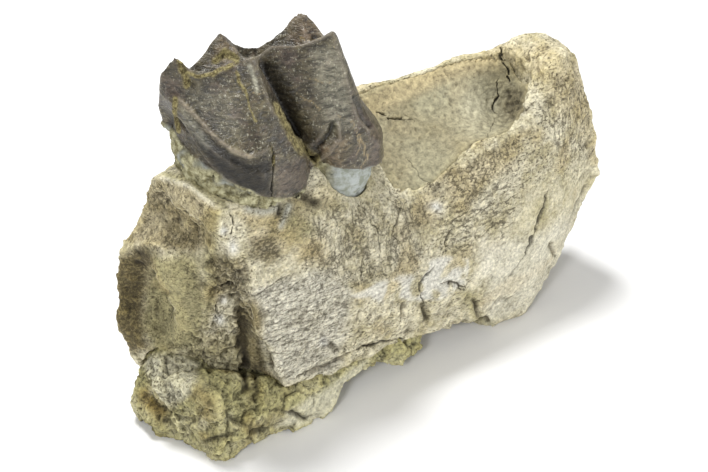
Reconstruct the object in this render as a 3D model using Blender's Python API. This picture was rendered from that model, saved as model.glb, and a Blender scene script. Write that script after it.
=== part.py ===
"""Fossil titanothere jaw section: a broken piece of lower jaw with one molar still in its socket.

Sizes below are real sizes in millimetres, and are turned to metres where a mesh is made.
+Z is up and the part stands on z = 0 on its broken foot, as it does in the photograph.
-X is the broken front end with two open tooth sockets, -Y is the outer (cheek) side.
"""

import math

import bmesh
import bpy
import numpy as np
from mathutils import Vector, noise

MM = 0.001
GAP = 0.35  # clearance between the bone and whatever sits in it
SMOOTH_ANGLE = math.radians(35)
FLAT_FOOT = 0.2  # points no higher than this belong to the flat foot
BONE_STATIONS = 33  # sections along the jaw
CAP_STEPS = 6  # rings that close a broken end
FRONT_X, REAR_X = -78.0, 86.0
REAR_CENTRE = (0.0, 46.0)  # (across, up) where the rear end's rings close

# Driving dimensions of the jaw: (place along the jaw, value).
NEAR_RIM_Y = [(-62, -14), (-40, -17), (-14, -16.5), (6, -15), (34, -15.5), (50, -15.5), (62, -14), (74, -12),
              (86, -9)]
NEAR_RIM_Z = [(-62, 86), (-52, 85), (-44, 81), (-34, 77), (-22, 74), (-14, 71.5), (-4, 67), (6, 63), (14, 61),
              (22, 63), (28, 67), (34, 70.5), (48, 70.5), (56, 71.5), (62, 76), (69, 85), (77, 89), (86, 84)]
FAR_RIM_Y = [(-62, 15), (-40, 20), (0, 21), (20, 19), (40, 17), (60, 13), (72, 9), (86, 4)]
FAR_RIM_Z = [(-62, 84), (-40, 84), (0, 85), (20, 84), (40, 83.5), (52, 85), (66, 86), (77, 89), (86, 86)]
NEAR_SIDE_Y = [(-62, -17), (-30, -20), (0, -21.5), (40, -22.5), (70, -21), (88, -14)]
FAR_SIDE_Y = [(-72, 24), (-40, 26), (0, 25.5), (40, 23), (70, 18), (88, 11)]
NEAR_FOOT_Y = [(-66, -14), (-20, -16), (10, -16), (45, -20), (60, -20), (84, -13)]
FAR_FOOT_Y = [(-72, 16), (-40, 18), (0, 18), (45, 15), (84, 8)]
FOOT_Z = [(-72, 9), (-30, 9), (0, 9), (20, 8), (32, 6), (40, 1), (44, 0), (61, 0), (68, 2.5), (75, 8),
          (83, 19), (92, 34)]
ALVEOLAR_RISE = [(-64, 0), (-50, 6), (-8, 7), (4, 2), (10, 0)]  # bone and silt packed up under the crown
# Driving dimensions of the broken ends: (height, place along the jaw).
FRONT_EDGE_NEAR_X = [(0, -36), (12, -39), (40, -48), (70, -57), (82, -60), (92, -60)]
FRONT_EDGE_FAR_X = [(0, -67), (14, -69), (23, -71.5), (32, -73), (45, -73), (56, -71.5), (61, -70),
                    (66, -65.5), (74, -63.5), (85, -61)]
REAR_EDGE_X = [(0, 66), (5, 77), (14, 85), (24, 90.5), (36, 93.5), (48, 93), (60, 90.5), (74, 86.5), (90, 81)]
# Hollows in the broken front end: centre (across, up), radii, depth.
UPPER_SOCKET = ((4, 74), (14, 9), 3.8)
LOWER_SOCKET = ((13, 42), (9.5, 18), 9.5)
BROKEN_EDGE = ((-10.5, 34), (5, 26), 5.0)
HOLLOW_FLOOR, HOLLOW_RIM = 0.3, 1.1  # shares of the radii where a hollow's floor ends and its wall ends
FRONT_FACE_SPAN = ((-31, 33, 20), (-6, 98, 30))  # across and up: from, to, points
FRONT_RELIEF = 1.8

# Driving dimensions of the silt in the open crypt behind the molar.
CRYPT_FRONT_X, CRYPT_REAR_X = 7.5, 67.0
CRYPT_HOLLOW = [(7, 1.5), (20, 2.5), (35, 4), (55, 5), (67, 3)]  # how far its face sags below a flat one
CRYPT_POCKET = ((61, -1), (9, 8), 6.0)  # centre, radii and depth of the pocket by the end wall
SILT_DEPTH = 7.0
CRYPT_END_RISE = 9  # how far its face climbs the end wall
CRYPT_STATIONS = 19
CRYPT_POINTS = 10  # across its face

# The block of silt the jaw stands on: (place along the jaw, value).
BASE_NEAR_Y = [(-74, 6), (-71, 2), (-68.5, -4.5), (-67, -10.5), (-65, -16), (-60, -18), (-54, -18), (-44, -19),
               (-34, -20.5), (-26, -20), (-18, -17.5), (-8, -16), (2, -18), (8, -17), (16, -13)]
BASE_FAR_Y = [(-74, 14), (-71, 17), (-60, 18), (-30, 18), (0, 15), (16, 8)]
BASE_TOP_Z = [(-74, 12), (-70, 19), (-66, 23), (-60, 21), (-50, 18), (-40, 14), (-30, 12.5), (-10, 12),
              (8, 11.5), (16, 10.5)]
BASE_BOTTOM_Z = [(-74, 2), (-72, 0), (-32, 0), (-28, 0), (-22, 4.5), (-14, 6), (-4, 6.5), (2, 3.5), (7, 4),
                 (16, 5)]
BASE_STATIONS = 28
BASE_RELIEF, BASE_LUMP = 2.4, 9.0  # height and width of its lumps

# Columns round the crown: top edge (along, across, up), foot of the enamel, belly outwards, collar ridge.
CROWN_COLUMNS = [
    ((-60.6, 6.2, 121.2), (-57.5, 12.0, 105.0), 0.8, 0.8),
    ((-57.6, 4.4, 124.6), (-58.8, 6.0, 108.5), 0.0, 1.2),  # front inner cusp
    ((-54.6, 1.6, 121.0), (-58.6, -1.0, 105.5), -0.6, 1.6),
    ((-49.5, -2.5, 120.8), (-57.5, -8.0, 98.5), -0.6, 2.0),
    ((-44.5, -5.0, 122.0), (-54.0, -14.5, 93.0), 0.6, 2.0),
    ((-40.6, -7.0, 123.4), (-46.5, -18.0, 87.0), 2.4, 1.4),  # front outer cusp
    ((-38.4, -5.6, 121.2), (-37.0, -18.5, 83.0), 3.4, 0.5),
    ((-35.6, -1.5, 118.2), (-29.0, -15.5, 82.5), 2.2, 0.8),
    ((-32.8, 2.0, 116.8), (-21.5, -8.5, 84.5), -1.2, 0.6),  # fold between the two lobes
    ((-28.8, 0.4, 120.2), (-20.0, -12.5, 85.0), 0.6, 1.0),
    ((-23.8, -2.0, 119.6), (-18.8, -16.0, 84.8), 0.8, 1.4),
    ((-18.7, -4.4, 120.4), (-16.0, -17.8, 84.0), 1.0, 1.0),
    ((-13.2, -7.2, 122.8), (-10.5, -18.0, 82.0), 1.8, 0.4),  # rear outer cusp
    ((-10.6, -5.0, 119.8), (-4.5, -16.8, 80.5), 1.4, 1.6),
    ((-9.2, -1.0, 116.5), (1.0, -13.2, 79.5), 0.6, 2.4),
    ((-8.6, 3.0, 116.0), (4.8, -7.0, 80.5), 0.2, 2.4),
    ((-9.4, 7.4, 119.6), (5.8, 2.0, 83.0), 0.4, 1.6),
    ((-12.2, 9.8, 121.4), (3.2, 10.0, 87.0), 0.8, 1.0),  # rear inner cusp
    ((-15.8, 11.2, 117.8), (-6.0, 15.0, 91.0), 1.0, 0.6),
    ((-25.0, 12.5, 113.5), (-20.0, 16.5, 92.0), 0.6, 0.6),
    ((-33.0, 12.8, 117.5), (-30.0, 16.0, 93.0), 0.6, 0.6),
    ((-38.2, 11.6, 123.0), (-37.0, 16.5, 94.0), 1.4, 0.6),  # middle inner cusp
    ((-43.2, 12.4, 117.5), (-44.0, 16.0, 95.0), 0.8, 0.6),
    ((-52.0, 11.5, 114.0), (-52.0, 15.5, 97.0), 0.6, 0.6),
    ((-59.0, 8.6, 117.5), (-57.0, 14.2, 100.0), 0.6, 0.6),
]
CROWN_LEVELS = (0.0, 0.1, 0.2, 0.3, 0.42, 0.55, 0.68, 0.8, 0.9, 0.96, 1.0)  # from foot to top edge
COLUMN_STEPS = 2  # points made per column
COLLAR_LEVEL, COLLAR_WIDTH = 0.22, 0.11  # where the collar ridge runs round the crown
CROWN_UNDER = (0.15, 0.4, 0.7)  # rings of the crown's underside, outwards
CROWN_UNDER_X, CROWN_UNDER_Z = (-48, -12), 90.0  # the line they open from
CHEW_SHRINK = (0.92, 0.8, 0.64, 0.46, 0.28)  # rings of the chewing surface, inwards
CHEW_SLOPE, CHEW_FLOOR_Z = 1.5, 108.0
CHEW_MIDDLE = (-54, -13, 4.0)  # the line the rings close on: from, to, across
CHEW_RIDGES = [  # crests across the crown: from, to, sag
    ((-40.6, -7, 123.4), (-38.2, 11.6, 123), 7.0),
    ((-32.8, 2, 116.8), (-38.2, 11.6, 123), 1.0),
    ((-14.2, -7, 122.6), (-12.2, 9.8, 121.4), 6.0),
]
# Roots: (height, centre along, centre across, half length, half width) from the crown down.
FRONT_ROOT = [(103, -47.5, 1.5, 10, 12), (95, -47, 0.5, 11.5, 13.8), (86, -46, -0.5, 10.5, 14),
              (78, -45, -1.5, 9, 13), (66, -44, -1, 7.5, 10), (54, -43, 0, 4.5, 5.5)]
REAR_ROOT = [(90, -9, -1, 9, 11.5), (83, -9.5, -1, 10.5, 13.8), (76, -10, -1.5, 9.5, 13.5),
             (66, -11, -1, 8, 10), (52, -11, 1, 4.5, 5.5)]
ROOT_SQUARENESS = 0.75  # 1 gives an oval root, less a squarer one
ROOT_POINTS = 24

# Each piece's material: its name, colour and roughness.
FINISHES = {
    "jaw_bone": ("fossil_bone", (0.55, 0.48, 0.34), 0.8),
    "molar": ("tooth_enamel", (0.11, 0.095, 0.09), 0.35),
    "crypt_silt": ("smooth_siltstone", (0.42, 0.39, 0.26), 0.85),
    "base_silt": ("rough_siltstone", (0.4, 0.36, 0.22), 0.9),
}


def along(x, knots):
    """A smooth curve through (x, value) knots, level beyond the last ones."""
    xs, values = (np.array(column, float) for column in zip(*knots))
    slopes = np.gradient(values, xs)
    x = np.clip(x, xs[0], xs[-1])
    i = np.clip(np.searchsorted(xs, x) - 1, 0, len(xs) - 2)
    width = xs[i + 1] - xs[i]
    t = (x - xs[i]) / width
    ends = values[i] * (1 + 2 * t) * (1 - t) ** 2 + values[i + 1] * t * t * (3 - 2 * t)
    return ends + width * t * (1 - t) * (slopes[i] * (1 - t) - slopes[i + 1] * t)


def ease(t):
    t = np.clip(t, 0, 1)
    return t * t * (3 - 2 * t)


def closed_curve(points, steps):
    """Points on a closed Catmull-Rom curve: steps[i] of them from point i towards the next."""
    made = []
    count = len(points)
    for i, pieces in enumerate(steps):
        a, b, c, d = (np.asarray(points[(i + k) % count], float) for k in (-1, 0, 1, 2))
        for t in np.arange(pieces) / pieces:
            bend = (2 * a - 5 * b + 4 * c - d) * t + (3 * b - a - 3 * c + d) * t * t
            made.append(b + 0.5 * t * (c - a + bend))
    return np.array(made)


def rough(point, size, seed=0.0):
    """Noise from about -1 to 1 whose lumps are as large as size."""
    place = Vector(point) / size + Vector((seed, 7.3 * seed, 1.7 * seed))
    return noise.noise(place) + 0.4 * noise.noise(place * 2.1)


def mesh_object(name, rings, close_front, close_rear):
    """One closed body from rings with equal numbers of points, each end closed on a point or a flat face."""
    mesh = bmesh.new()
    rows = [[mesh.verts.new(p) for p in ring] for ring in rings]
    for low, high in zip(rows, rows[1:]):
        for i in range(len(low)):
            j = (i + 1) % len(low)
            mesh.faces.new((low[i], low[j], high[j], high[i]))
    for row, tip in ((rows[0], close_front), (rows[-1], close_rear)):
        if tip is None:
            mesh.faces.new(row)
            continue
        peak = mesh.verts.new(tip)
        for i in range(len(row)):
            mesh.faces.new((row[i], row[(i + 1) % len(row)], peak))
    bmesh.ops.triangulate(mesh, faces=mesh.faces)
    bmesh.ops.recalc_face_normals(mesh, faces=mesh.faces)
    data = bpy.data.meshes.new(name)
    mesh.to_mesh(data)
    mesh.free()
    return bpy.data.objects.new(name, data)


def hollow(y, z, socket):
    """How deep a hollow is at a place on the broken end."""
    (cy, cz), (ry, rz), depth = socket
    d = np.sqrt(((y - cy) / ry) ** 2 + ((z - cz) / rz) ** 2)
    return depth * (1 - ease((d - HOLLOW_FLOOR) / (HOLLOW_RIM - HOLLOW_FLOOR)))


def front_end(y, z):
    """Where the broken front end lies: it runs back towards the cheek side and holds the sockets."""
    near, far = along(z, FRONT_EDGE_NEAR_X), along(z, FRONT_EDGE_FAR_X)
    x = near + (far - near) * ease((y + 16) / 36)
    for socket in (UPPER_SOCKET, LOWER_SOCKET, BROKEN_EDGE):
        x = x + hollow(y, z, socket)
    return x


def rear_end(y, z):
    """Where the rear end lies: a gently convex broken face, furthest back at mid height."""
    return along(z, REAR_EDGE_X) - 0.008 * (y + 6) ** 2


def jaw_section(x):
    """The jaw's outline across, at x: up the cheek side, over the top and down the tongue side."""
    rim_y, rim_z = along(x, NEAR_RIM_Y), along(x, NEAR_RIM_Z)
    crest_y, crest_z = along(x, FAR_RIM_Y), along(x, FAR_RIM_Z)
    side_y, back_y = along(x, NEAR_SIDE_Y), along(x, FAR_SIDE_Y)
    foot_y, heel_y = along(x, NEAR_FOOT_Y), along(x, FAR_FOOT_Y)
    foot_z = max(0.0, along(x, FOOT_Z))
    rise = along(x, ALVEOLAR_RISE)
    outline = [
        (foot_y + 1.5, foot_z),
        (0.6 * foot_y + 0.4 * side_y, foot_z + 0.16 * (rim_z - foot_z)),
        (side_y, foot_z + 0.42 * (rim_z - foot_z)),
        (0.6 * side_y + 0.4 * rim_y, foot_z + 0.75 * (rim_z - foot_z)),
        (rim_y - 0.6, rim_z - 4),
        (rim_y + 1.8, rim_z),
        (0.7 * rim_y + 0.3 * crest_y, 0.72 * rim_z + 0.28 * crest_z + 0.5 + rise),
        (0.33 * rim_y + 0.67 * crest_y, 0.38 * rim_z + 0.62 * crest_z + 1 + rise),
        (crest_y - 2, crest_z),
        (crest_y + 1.5, crest_z - 5),
        (0.8 * back_y + 0.2 * crest_y, 0.62 * crest_z),
        (0.95 * back_y, 0.34 * crest_z),
        (heel_y, foot_z + 3),
        (heel_y - 5, foot_z),
    ]
    return closed_curve(outline, (3, 4, 4, 3, 2, 3, 3, 3, 2, 3, 4, 4, 2, 4))


def jaw_rings():
    """Rings of points round the jaw, from the front end to the rear one."""
    rings = []
    for share in np.linspace(0, 1, BONE_STATIONS):
        x = np.full(len(jaw_section(0.0)), FRONT_X + share * (REAR_X - FRONT_X))
        for _ in range(4):  # the rear end leans, so each point is looked up again where it really lies
            ring = np.array([jaw_section(place)[i] for i, place in enumerate(x)])
            x = FRONT_X * (1 - share) + rear_end(*ring.T) * share
        ring[:, 1] = np.maximum(ring[:, 1], 0)
        rings.append(np.column_stack([x, ring]))
    return rings


def end_cap(ring, centre, end):
    """Rings that close an end, shrinking onto its centre."""
    made = []
    for k in range(1, CAP_STEPS):
        flat = np.array(centre) + (ring[:, 1:] - centre) * (1 - k / CAP_STEPS)
        made.append(np.column_stack([end(*flat.T), flat]))
    return made


def front_break():
    """What is broken off the front: a block whose rear face is the broken end with its sockets."""
    (low_y, high_y, points_y), (low_z, high_z, points_z) = FRONT_FACE_SPAN
    across = np.linspace(low_y, high_y, points_y)
    rings = []
    for z in np.linspace(low_z, high_z, points_z):
        lumps = np.array([FRONT_RELIEF * rough((0, y, z), 9, 2.0) for y in across])
        face = np.column_stack([front_end(across, z) + lumps, across, np.full(points_y, z)])
        rings.append(np.vstack([face, [(FRONT_X - 20, high_y, z), (FRONT_X - 20, low_y, z)]]))
    return mesh_object("front_break", rings, None, None)


def weather(obj, strength):
    """Moves each point along its normal by a noise, and leaves those of the flat foot where they are."""
    moves = []
    for vertex in obj.data.vertices:
        amount, size, seed = strength(vertex.co)
        moves.append(vertex.normal * amount * rough(vertex.co, size, seed))
    for vertex, move in zip(obj.data.vertices, moves):
        if vertex.co.z > FLAT_FOOT:
            vertex.co += move
            vertex.co.z = max(vertex.co.z, FLAT_FOOT)
    obj.data.update()


def bone_strength(point):
    """Smooth cheek plate, rough rear end and foot: strength, lump size, seed."""
    rear = ease((point.x - 66) / 16)
    foot = 1 - ease((point.z - 6) / 12)
    back = ease((point.y - 8) / 10)
    return 0.5 + 1.2 * foot + 0.5 * rear + 0.6 * back, 9.0, 0.0


def jaw_bone():
    """The jaw before its hollows are cut."""
    rings = jaw_rings()
    rear = end_cap(rings[-1], REAR_CENTRE, rear_end)
    tip = (float(rear_end(*np.array(REAR_CENTRE))), *REAR_CENTRE)
    bone = mesh_object("jaw_bone", rings + rear, None, tip)
    weather(bone, bone_strength)
    return bone


def crypt_face_z(x, y, near, far):
    """Height of the silt's face in the crypt behind the molar."""
    t = (y - near) / (far - near)
    near_z, far_z = along(min(x, CRYPT_POCKET[0][0]), NEAR_RIM_Z), along(x, FAR_RIM_Z)
    flat = near_z - 0.8 + (far_z - near_z) * t - along(x, CRYPT_HOLLOW) * 4 * t * (1 - t)
    (px, py), (rx, ry), depth = CRYPT_POCKET
    pocket = depth * math.exp(-(((x - px) / rx) ** 2) - ((y - py) / ry) ** 2)
    end_wall = CRYPT_END_RISE * ease((x - px) / 6)
    return flat - pocket + end_wall * (1 - t)


def crypt_rings(grow, lift):
    """Sections of the silt in the crypt. Grown and lifted, they make the space it lies in."""
    rings = []
    stations = np.linspace(CRYPT_FRONT_X - grow, CRYPT_REAR_X + grow, CRYPT_STATIONS)
    for x in stations:
        inward = 1.0 - math.sqrt(max(0.0, 1 - ((x - 36) / 34) ** 4))
        near = along(x, NEAR_RIM_Y) + 3.2 + 9 * inward - grow
        far = along(x, FAR_RIM_Y) - 2.6 - 8 * inward + grow
        across = np.linspace(near, far, CRYPT_POINTS)
        face = np.array([crypt_face_z(x, y, near, far) for y in across])
        face += np.array([0.5 * rough((x, y, 0), 7, 3.0) for y in across])
        depth = SILT_DEPTH * (1 - (2 * (across - near) / (far - near) - 1) ** 4) + 2
        place = np.full(CRYPT_POINTS, x)
        top = np.column_stack([place, across, face + lift])
        bottom = np.column_stack([place, across, face - depth - grow])
        rings.append(np.vstack([top, bottom[::-1]]))
    return rings


def base_rings():
    """Sections of the block of silt under the jaw."""
    rings = []
    for x in np.linspace(BASE_NEAR_Y[0][0], BASE_NEAR_Y[-1][0], BASE_STATIONS):
        near, far = along(x, BASE_NEAR_Y), along(x, BASE_FAR_Y)
        top, bottom = along(x, BASE_TOP_Z), max(0.0, along(x, BASE_BOTTOM_Z))
        span, height = far - near, top - bottom
        outline = [
            (near + 0.06 * span, bottom),
            (near, bottom + 0.3 * height),
            (near + 0.02 * span, bottom + 0.75 * height),
            (near + 0.12 * span, top),
            (near + 0.5 * span, top + 1),
            (far - 0.1 * span, top),
            (far, bottom + 0.5 * height),
            (far - 0.08 * span, bottom),
        ]
        ring = closed_curve(outline, (3, 3, 3, 3, 3, 2, 3, 5))
        ring[:, 1] = np.maximum(ring[:, 1], bottom)
        rings.append(np.column_stack([np.full(len(ring), x), ring]))
    return rings


def base_silt():
    """The block of silt under the front."""
    block = mesh_object("base_silt", base_rings(), None, None)
    weather(block, lambda point: (BASE_RELIEF, BASE_LUMP, 5.0))
    return block


def crown_ring(level):
    """The crown's outline at a level from 0 at the enamel's foot to 1 at its top edge."""
    points = []
    count = len(CROWN_COLUMNS)
    flat = [np.array(top) * level + np.array(foot) * (1 - level) for top, foot, _, _ in CROWN_COLUMNS]
    for i, (_, _, belly, collar) in enumerate(CROWN_COLUMNS):
        run = flat[(i + 1) % count] - flat[i - 1]
        out = np.array([run[1], -run[0], 0.0]) / math.hypot(run[0], run[1])
        swell = belly * math.sin(math.pi * level) ** 0.8
        swell += collar * math.exp(-(((level - COLLAR_LEVEL) / COLLAR_WIDTH) ** 2))
        points.append(flat[i] + out * swell)
    return closed_curve(points, (COLUMN_STEPS,) * count)


def to_segment(point, start, end):
    """(distance in plan, share along) from a point to a segment."""
    a, b = np.array(start[:2], float), np.array(end[:2], float)
    share = np.clip(np.dot(point - a, b - a) / np.dot(b - a, b - a), 0, 1)
    return np.linalg.norm(point - a - share * (b - a)), share


def chew_rings(edge):
    """Rings of the chewing surface inside the top edge: basins between sharp crests."""
    rings = []
    for shrink in CHEW_SHRINK:
        ring = []
        for x, y, z in edge:
            middle = np.array([np.clip(x, CHEW_MIDDLE[0], CHEW_MIDDLE[1]), CHEW_MIDDLE[2]])
            place = middle + shrink * (np.array([x, y]) - middle)
            height = z - CHEW_SLOPE * np.linalg.norm(place - (x, y))
            for start, end, sag in CHEW_RIDGES:
                away, share = to_segment(place, start, end)
                crest = start[2] + share * (end[2] - start[2]) - sag * 4 * share * (1 - share)
                height = max(height, crest - CHEW_SLOPE * away)
            ring.append((*place, max(height, CHEW_FLOOR_Z)))
        rings.append(np.array(ring))
    return rings


def crown(name):
    """The crown as one closed body: underside, outer wall and chewing surface."""
    rings = [crown_ring(level) for level in CROWN_LEVELS]
    middle = rings[0] * (1, 0, 0) + (0, 0, CROWN_UNDER_Z)
    middle[:, 0] = np.clip(middle[:, 0], *CROWN_UNDER_X)
    under = [middle + shrink * (rings[0] - middle) for shrink in CROWN_UNDER]
    return mesh_object(name, under + rings + chew_rings(rings[-1]), None, None)


def root(name, sections, grow=0.0):
    """A tapering root from (height, centre, half sizes) sections."""
    rings = []
    turn = np.linspace(0, 2 * math.pi, ROOT_POINTS, endpoint=False)
    for i, (z, cx, cy, rx, ry) in enumerate(sections):
        height = z - grow if i == len(sections) - 1 else z
        x = cx + (rx + grow) * np.sign(np.cos(turn)) * abs(np.cos(turn)) ** ROOT_SQUARENESS
        y = cy + (ry + grow) * np.sign(np.sin(turn)) * abs(np.sin(turn)) ** ROOT_SQUARENESS
        rings.append(np.column_stack([x, y, np.full(ROOT_POINTS, height)]))
    return mesh_object(name, rings, None, None)


def boolean(target, cutter, operation):
    """Applies an exact Boolean and keeps the largest body that is left."""
    modifier = target.modifiers.new("cut", "BOOLEAN")
    modifier.operation = operation
    modifier.solver = "EXACT"
    modifier.object = cutter
    graph = bpy.context.evaluated_depsgraph_get()
    made = bpy.data.meshes.new_from_object(target.evaluated_get(graph))
    target.modifiers.clear()
    target.data = made
    keep_largest(target)


def keep_largest(obj):
    mesh = bmesh.new()
    mesh.from_mesh(obj.data)
    left, bodies = set(mesh.verts), []
    while left:
        body, front = set(), [left.pop()]
        while front:
            vertex = front.pop()
            body.add(vertex)
            for edge in vertex.link_edges:
                other = edge.other_vert(vertex)
                if other in left:
                    left.discard(other)
                    front.append(other)
        bodies.append(body)
    bodies.sort(key=len)
    for body in bodies[:-1]:
        bmesh.ops.delete(mesh, geom=list(body), context="VERTS")
    bmesh.ops.triangulate(mesh, faces=mesh.faces)
    mesh.to_mesh(obj.data)
    mesh.free()


def molar(cutters):
    """The tooth: its crown with the two roots joined on."""
    tooth = crown("molar")
    bpy.context.scene.collection.objects.link(tooth)
    for name, sections in (("front_root", FRONT_ROOT), ("rear_root", REAR_ROOT)):
        part = root(name, sections)
        as_cutter(cutters, part)
        boolean(tooth, part, "UNION")
    return tooth


def swollen(obj, name, amount):
    """A copy pushed outwards all over, to cut the space that the piece sits in."""
    copy = bpy.data.objects.new(name, obj.data.copy())
    normals = [vertex.normal.copy() for vertex in copy.data.vertices]
    for vertex, normal in zip(copy.data.vertices, normals):
        vertex.co += normal * amount
    return copy


def material(name, colour, roughness):
    made = bpy.data.materials.new(name)
    made.use_nodes = True
    shader = made.node_tree.nodes["Principled BSDF"]
    shader.inputs["Base Color"].default_value = (*colour, 1)
    shader.inputs["Roughness"].default_value = roughness
    shader.inputs["Metallic"].default_value = 0.0
    return made


def new_collection(name):
    made = bpy.data.collections.new(name)
    bpy.context.scene.collection.children.link(made)
    return made


def into(collection, obj):
    for old in list(obj.users_collection):
        old.objects.unlink(obj)
    collection.objects.link(obj)


def as_cutter(cutters, obj):
    into(cutters, obj)
    obj.hide_render = True
    obj.display_type = "WIRE"


def settle(pieces, helpers):
    """Turns millimetres to metres, with the origin at the middle of the footprint."""
    corners = np.array([vertex.co[:] for obj in pieces for vertex in obj.data.vertices])
    low, high = corners.min(axis=0), corners.max(axis=0)
    shift = Vector((-(low[0] + high[0]) / 2, -(low[1] + high[1]) / 2, -low[2]))
    for obj in pieces + helpers:
        for vertex in obj.data.vertices:
            vertex.co = (vertex.co + shift) * MM
        obj.data.update()


def main():
    for old in list(bpy.data.objects):
        bpy.data.objects.remove(old)
    pieces = new_collection("titanothere_jaw_section")
    cutters = new_collection("cutters")
    bone = jaw_bone()
    into(pieces, bone)
    tooth = molar(cutters)
    into(pieces, tooth)
    silt = mesh_object("crypt_silt", crypt_rings(0, 0), None, None)
    into(pieces, silt)
    base = base_silt()
    into(pieces, base)
    spaces = [
        front_break(),
        mesh_object("crypt_space", crypt_rings(GAP, 40), None, None),
        swollen(base, "base_space", GAP),
        swollen(crown("crown"), "crown_space", GAP),
        root("front_root_space", FRONT_ROOT, GAP),
        root("rear_root_space", REAR_ROOT, GAP),
    ]
    for space in spaces:
        as_cutter(cutters, space)
        boolean(bone, space, "DIFFERENCE")
    settle([bone, tooth, silt, base], list(cutters.objects))
    for obj in (bone, tooth, silt, base):
        obj.data.shade_smooth()
        obj.data.set_sharp_from_angle(angle=SMOOTH_ANGLE)
        obj.data.materials.clear()
        obj.data.materials.append(material(*FINISHES[obj.name]))


main()
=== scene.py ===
import itertools
import math

import bmesh
import bpy
import numpy as np
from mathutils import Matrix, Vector


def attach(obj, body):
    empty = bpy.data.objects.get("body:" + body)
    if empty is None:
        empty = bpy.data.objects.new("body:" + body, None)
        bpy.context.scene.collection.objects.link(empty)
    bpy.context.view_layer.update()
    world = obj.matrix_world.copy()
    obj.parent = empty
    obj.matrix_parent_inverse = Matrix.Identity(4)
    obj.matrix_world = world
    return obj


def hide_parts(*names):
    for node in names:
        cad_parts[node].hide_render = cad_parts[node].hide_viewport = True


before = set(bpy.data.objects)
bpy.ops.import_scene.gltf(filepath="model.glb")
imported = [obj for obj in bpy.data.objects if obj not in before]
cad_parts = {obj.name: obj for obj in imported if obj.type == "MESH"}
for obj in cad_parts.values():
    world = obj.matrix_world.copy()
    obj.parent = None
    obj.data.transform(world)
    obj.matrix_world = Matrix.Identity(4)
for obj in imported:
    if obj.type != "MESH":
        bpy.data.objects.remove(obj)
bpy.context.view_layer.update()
mm = 0.001

view = dict(azimuth=-38.0, elevation=34.0, distance=520.0, lens=85.0, sensor=36.0,
            aim=(-9.456, -1.486, 45.0), width=708, height=472)
turn, tilt = math.radians(view["azimuth"]), math.radians(view["elevation"])
toCamera = np.array([math.sin(turn) * math.cos(tilt), -math.cos(turn) * math.cos(tilt), math.sin(tilt)])
rightward = np.array([math.cos(turn), math.sin(turn), 0.0])
upward = np.cross(toCamera, rightward)
eye = np.array(view["aim"]) + toCamera * view["distance"]


# Shapes: noise, marks and meshes

def ease(t):
    t = np.clip(t, 0, 1)
    return t * t * (3 - 2 * t)


def scramble(spots, seed):  # three random numbers from 0 to 1 for each whole-numbered spot
    code = spots[:, 0] * 73856093 ^ spots[:, 1] * 19349663 ^ spots[:, 2] * 83492791 ^ seed * 9176263
    code = (code ^ (code >> 13)) * 1274126177
    code = (code ^ (code >> 15)) * 668265263
    return np.column_stack([(code >> shift) & 1023 for shift in (2, 13, 24)]) / 1023


def lumps(points, size, seed=0):  # smooth noise from about -1 to 1, with lumps as wide as size
    place = points / size + 31.7 * (seed + 1)
    cell = np.floor(place).astype(np.int64)
    inside = place - cell
    fade = inside * inside * (3 - 2 * inside)
    total = np.zeros(len(points))
    for corner in itertools.product((0, 1), repeat=3):
        lean = 2 * scramble(cell + corner, seed) - 1
        weight = np.where(corner, fade, 1 - fade).prod(axis=1)
        total += weight * (lean * (inside - corner)).sum(axis=1)
    return 1.7 * total


def clods(points, size, seed=0):
    # distances to the two nearest of scattered seeds, and the rise of a plane that leans there its own way,
    # all in units of size
    place = points / size + 11.3 * (seed + 1)
    cell = np.floor(place).astype(np.int64)
    first, second, rise = np.full(len(points), 9.0), np.full(len(points), 9.0), np.zeros(len(points))
    for corner in itertools.product((-1, 0, 1), repeat=3):
        spot = cell + corner
        offset = place - spot - scramble(spot, seed)
        away = np.linalg.norm(offset, axis=1)
        second = np.minimum(second, np.maximum(first, away))
        rise = np.where(away < first, (offset * (2 * scramble(spot, seed + 500) - 1)).sum(axis=1), rise)
        first = np.minimum(first, away)
    return first, second, rise


def patches(points, size, seed, gain, offset):  # blotches from 0 to 1, and a higher offset covers more
    return ease(gain * lumps(points, size, seed) + offset)


def wander(points, size, seeds):  # smooth noise, one column for each seed
    return np.column_stack([lumps(points, size, seed) for seed in seeds])


def inPicture(points):  # where points fall in the picture
    away = points - eye
    scale = view["lens"] / view["sensor"] * view["width"] / -(away @ toCamera)
    return np.column_stack([view["width"] / 2 + scale * (away @ rightward),
                            view["height"] / 2 - scale * (away @ upward)])


def awayFrom(places, line):  # how far each place is from a line of marks, or from one mark
    line = np.array(line, float)
    best = np.linalg.norm(places - line[0], axis=1)
    for start, end in zip(line, line[1:]):
        run = end - start
        share = np.clip((places - start) @ run / (run @ run), 0, 1)
        best = np.minimum(best, np.linalg.norm(places - start - share[:, None] * run, axis=1))
    return best


def within(places, outline, soft):  # 1 inside an outline, fading to 0 across its edge
    line = [*outline, outline[0]]
    inside = np.zeros(len(places), bool)
    for (ax, ay), (bx, by) in zip(line, line[1:]):
        crosses = (ay > places[:, 1]) != (by > places[:, 1])
        inside ^= crosses & (places[:, 0] < ax + (places[:, 1] - ay) / (by - ay + 1e-9) * (bx - ax))
    return ease(0.5 + np.where(inside, 1, -1) * awayFrom(places, line) / (2 * soft))


def keepLargest(mesh):  # deletes crumbs that aren't joined to the rest
    work = bmesh.new()
    work.from_mesh(mesh)
    waiting, shells = set(work.verts), []
    while waiting:
        front = [waiting.pop()]
        shells.append([])
        while front:
            vert = front.pop()
            shells[-1].append(vert)
            beside = [edge.other_vert(vert) for edge in vert.link_edges]
            front += [other for other in beside if other in waiting]
            waiting.difference_update(beside)
    shells.sort(key=len)
    for shell in shells[:-1]:
        bmesh.ops.delete(work, geom=shell, context="VERTS")
    work.to_mesh(mesh)
    work.free()


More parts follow.
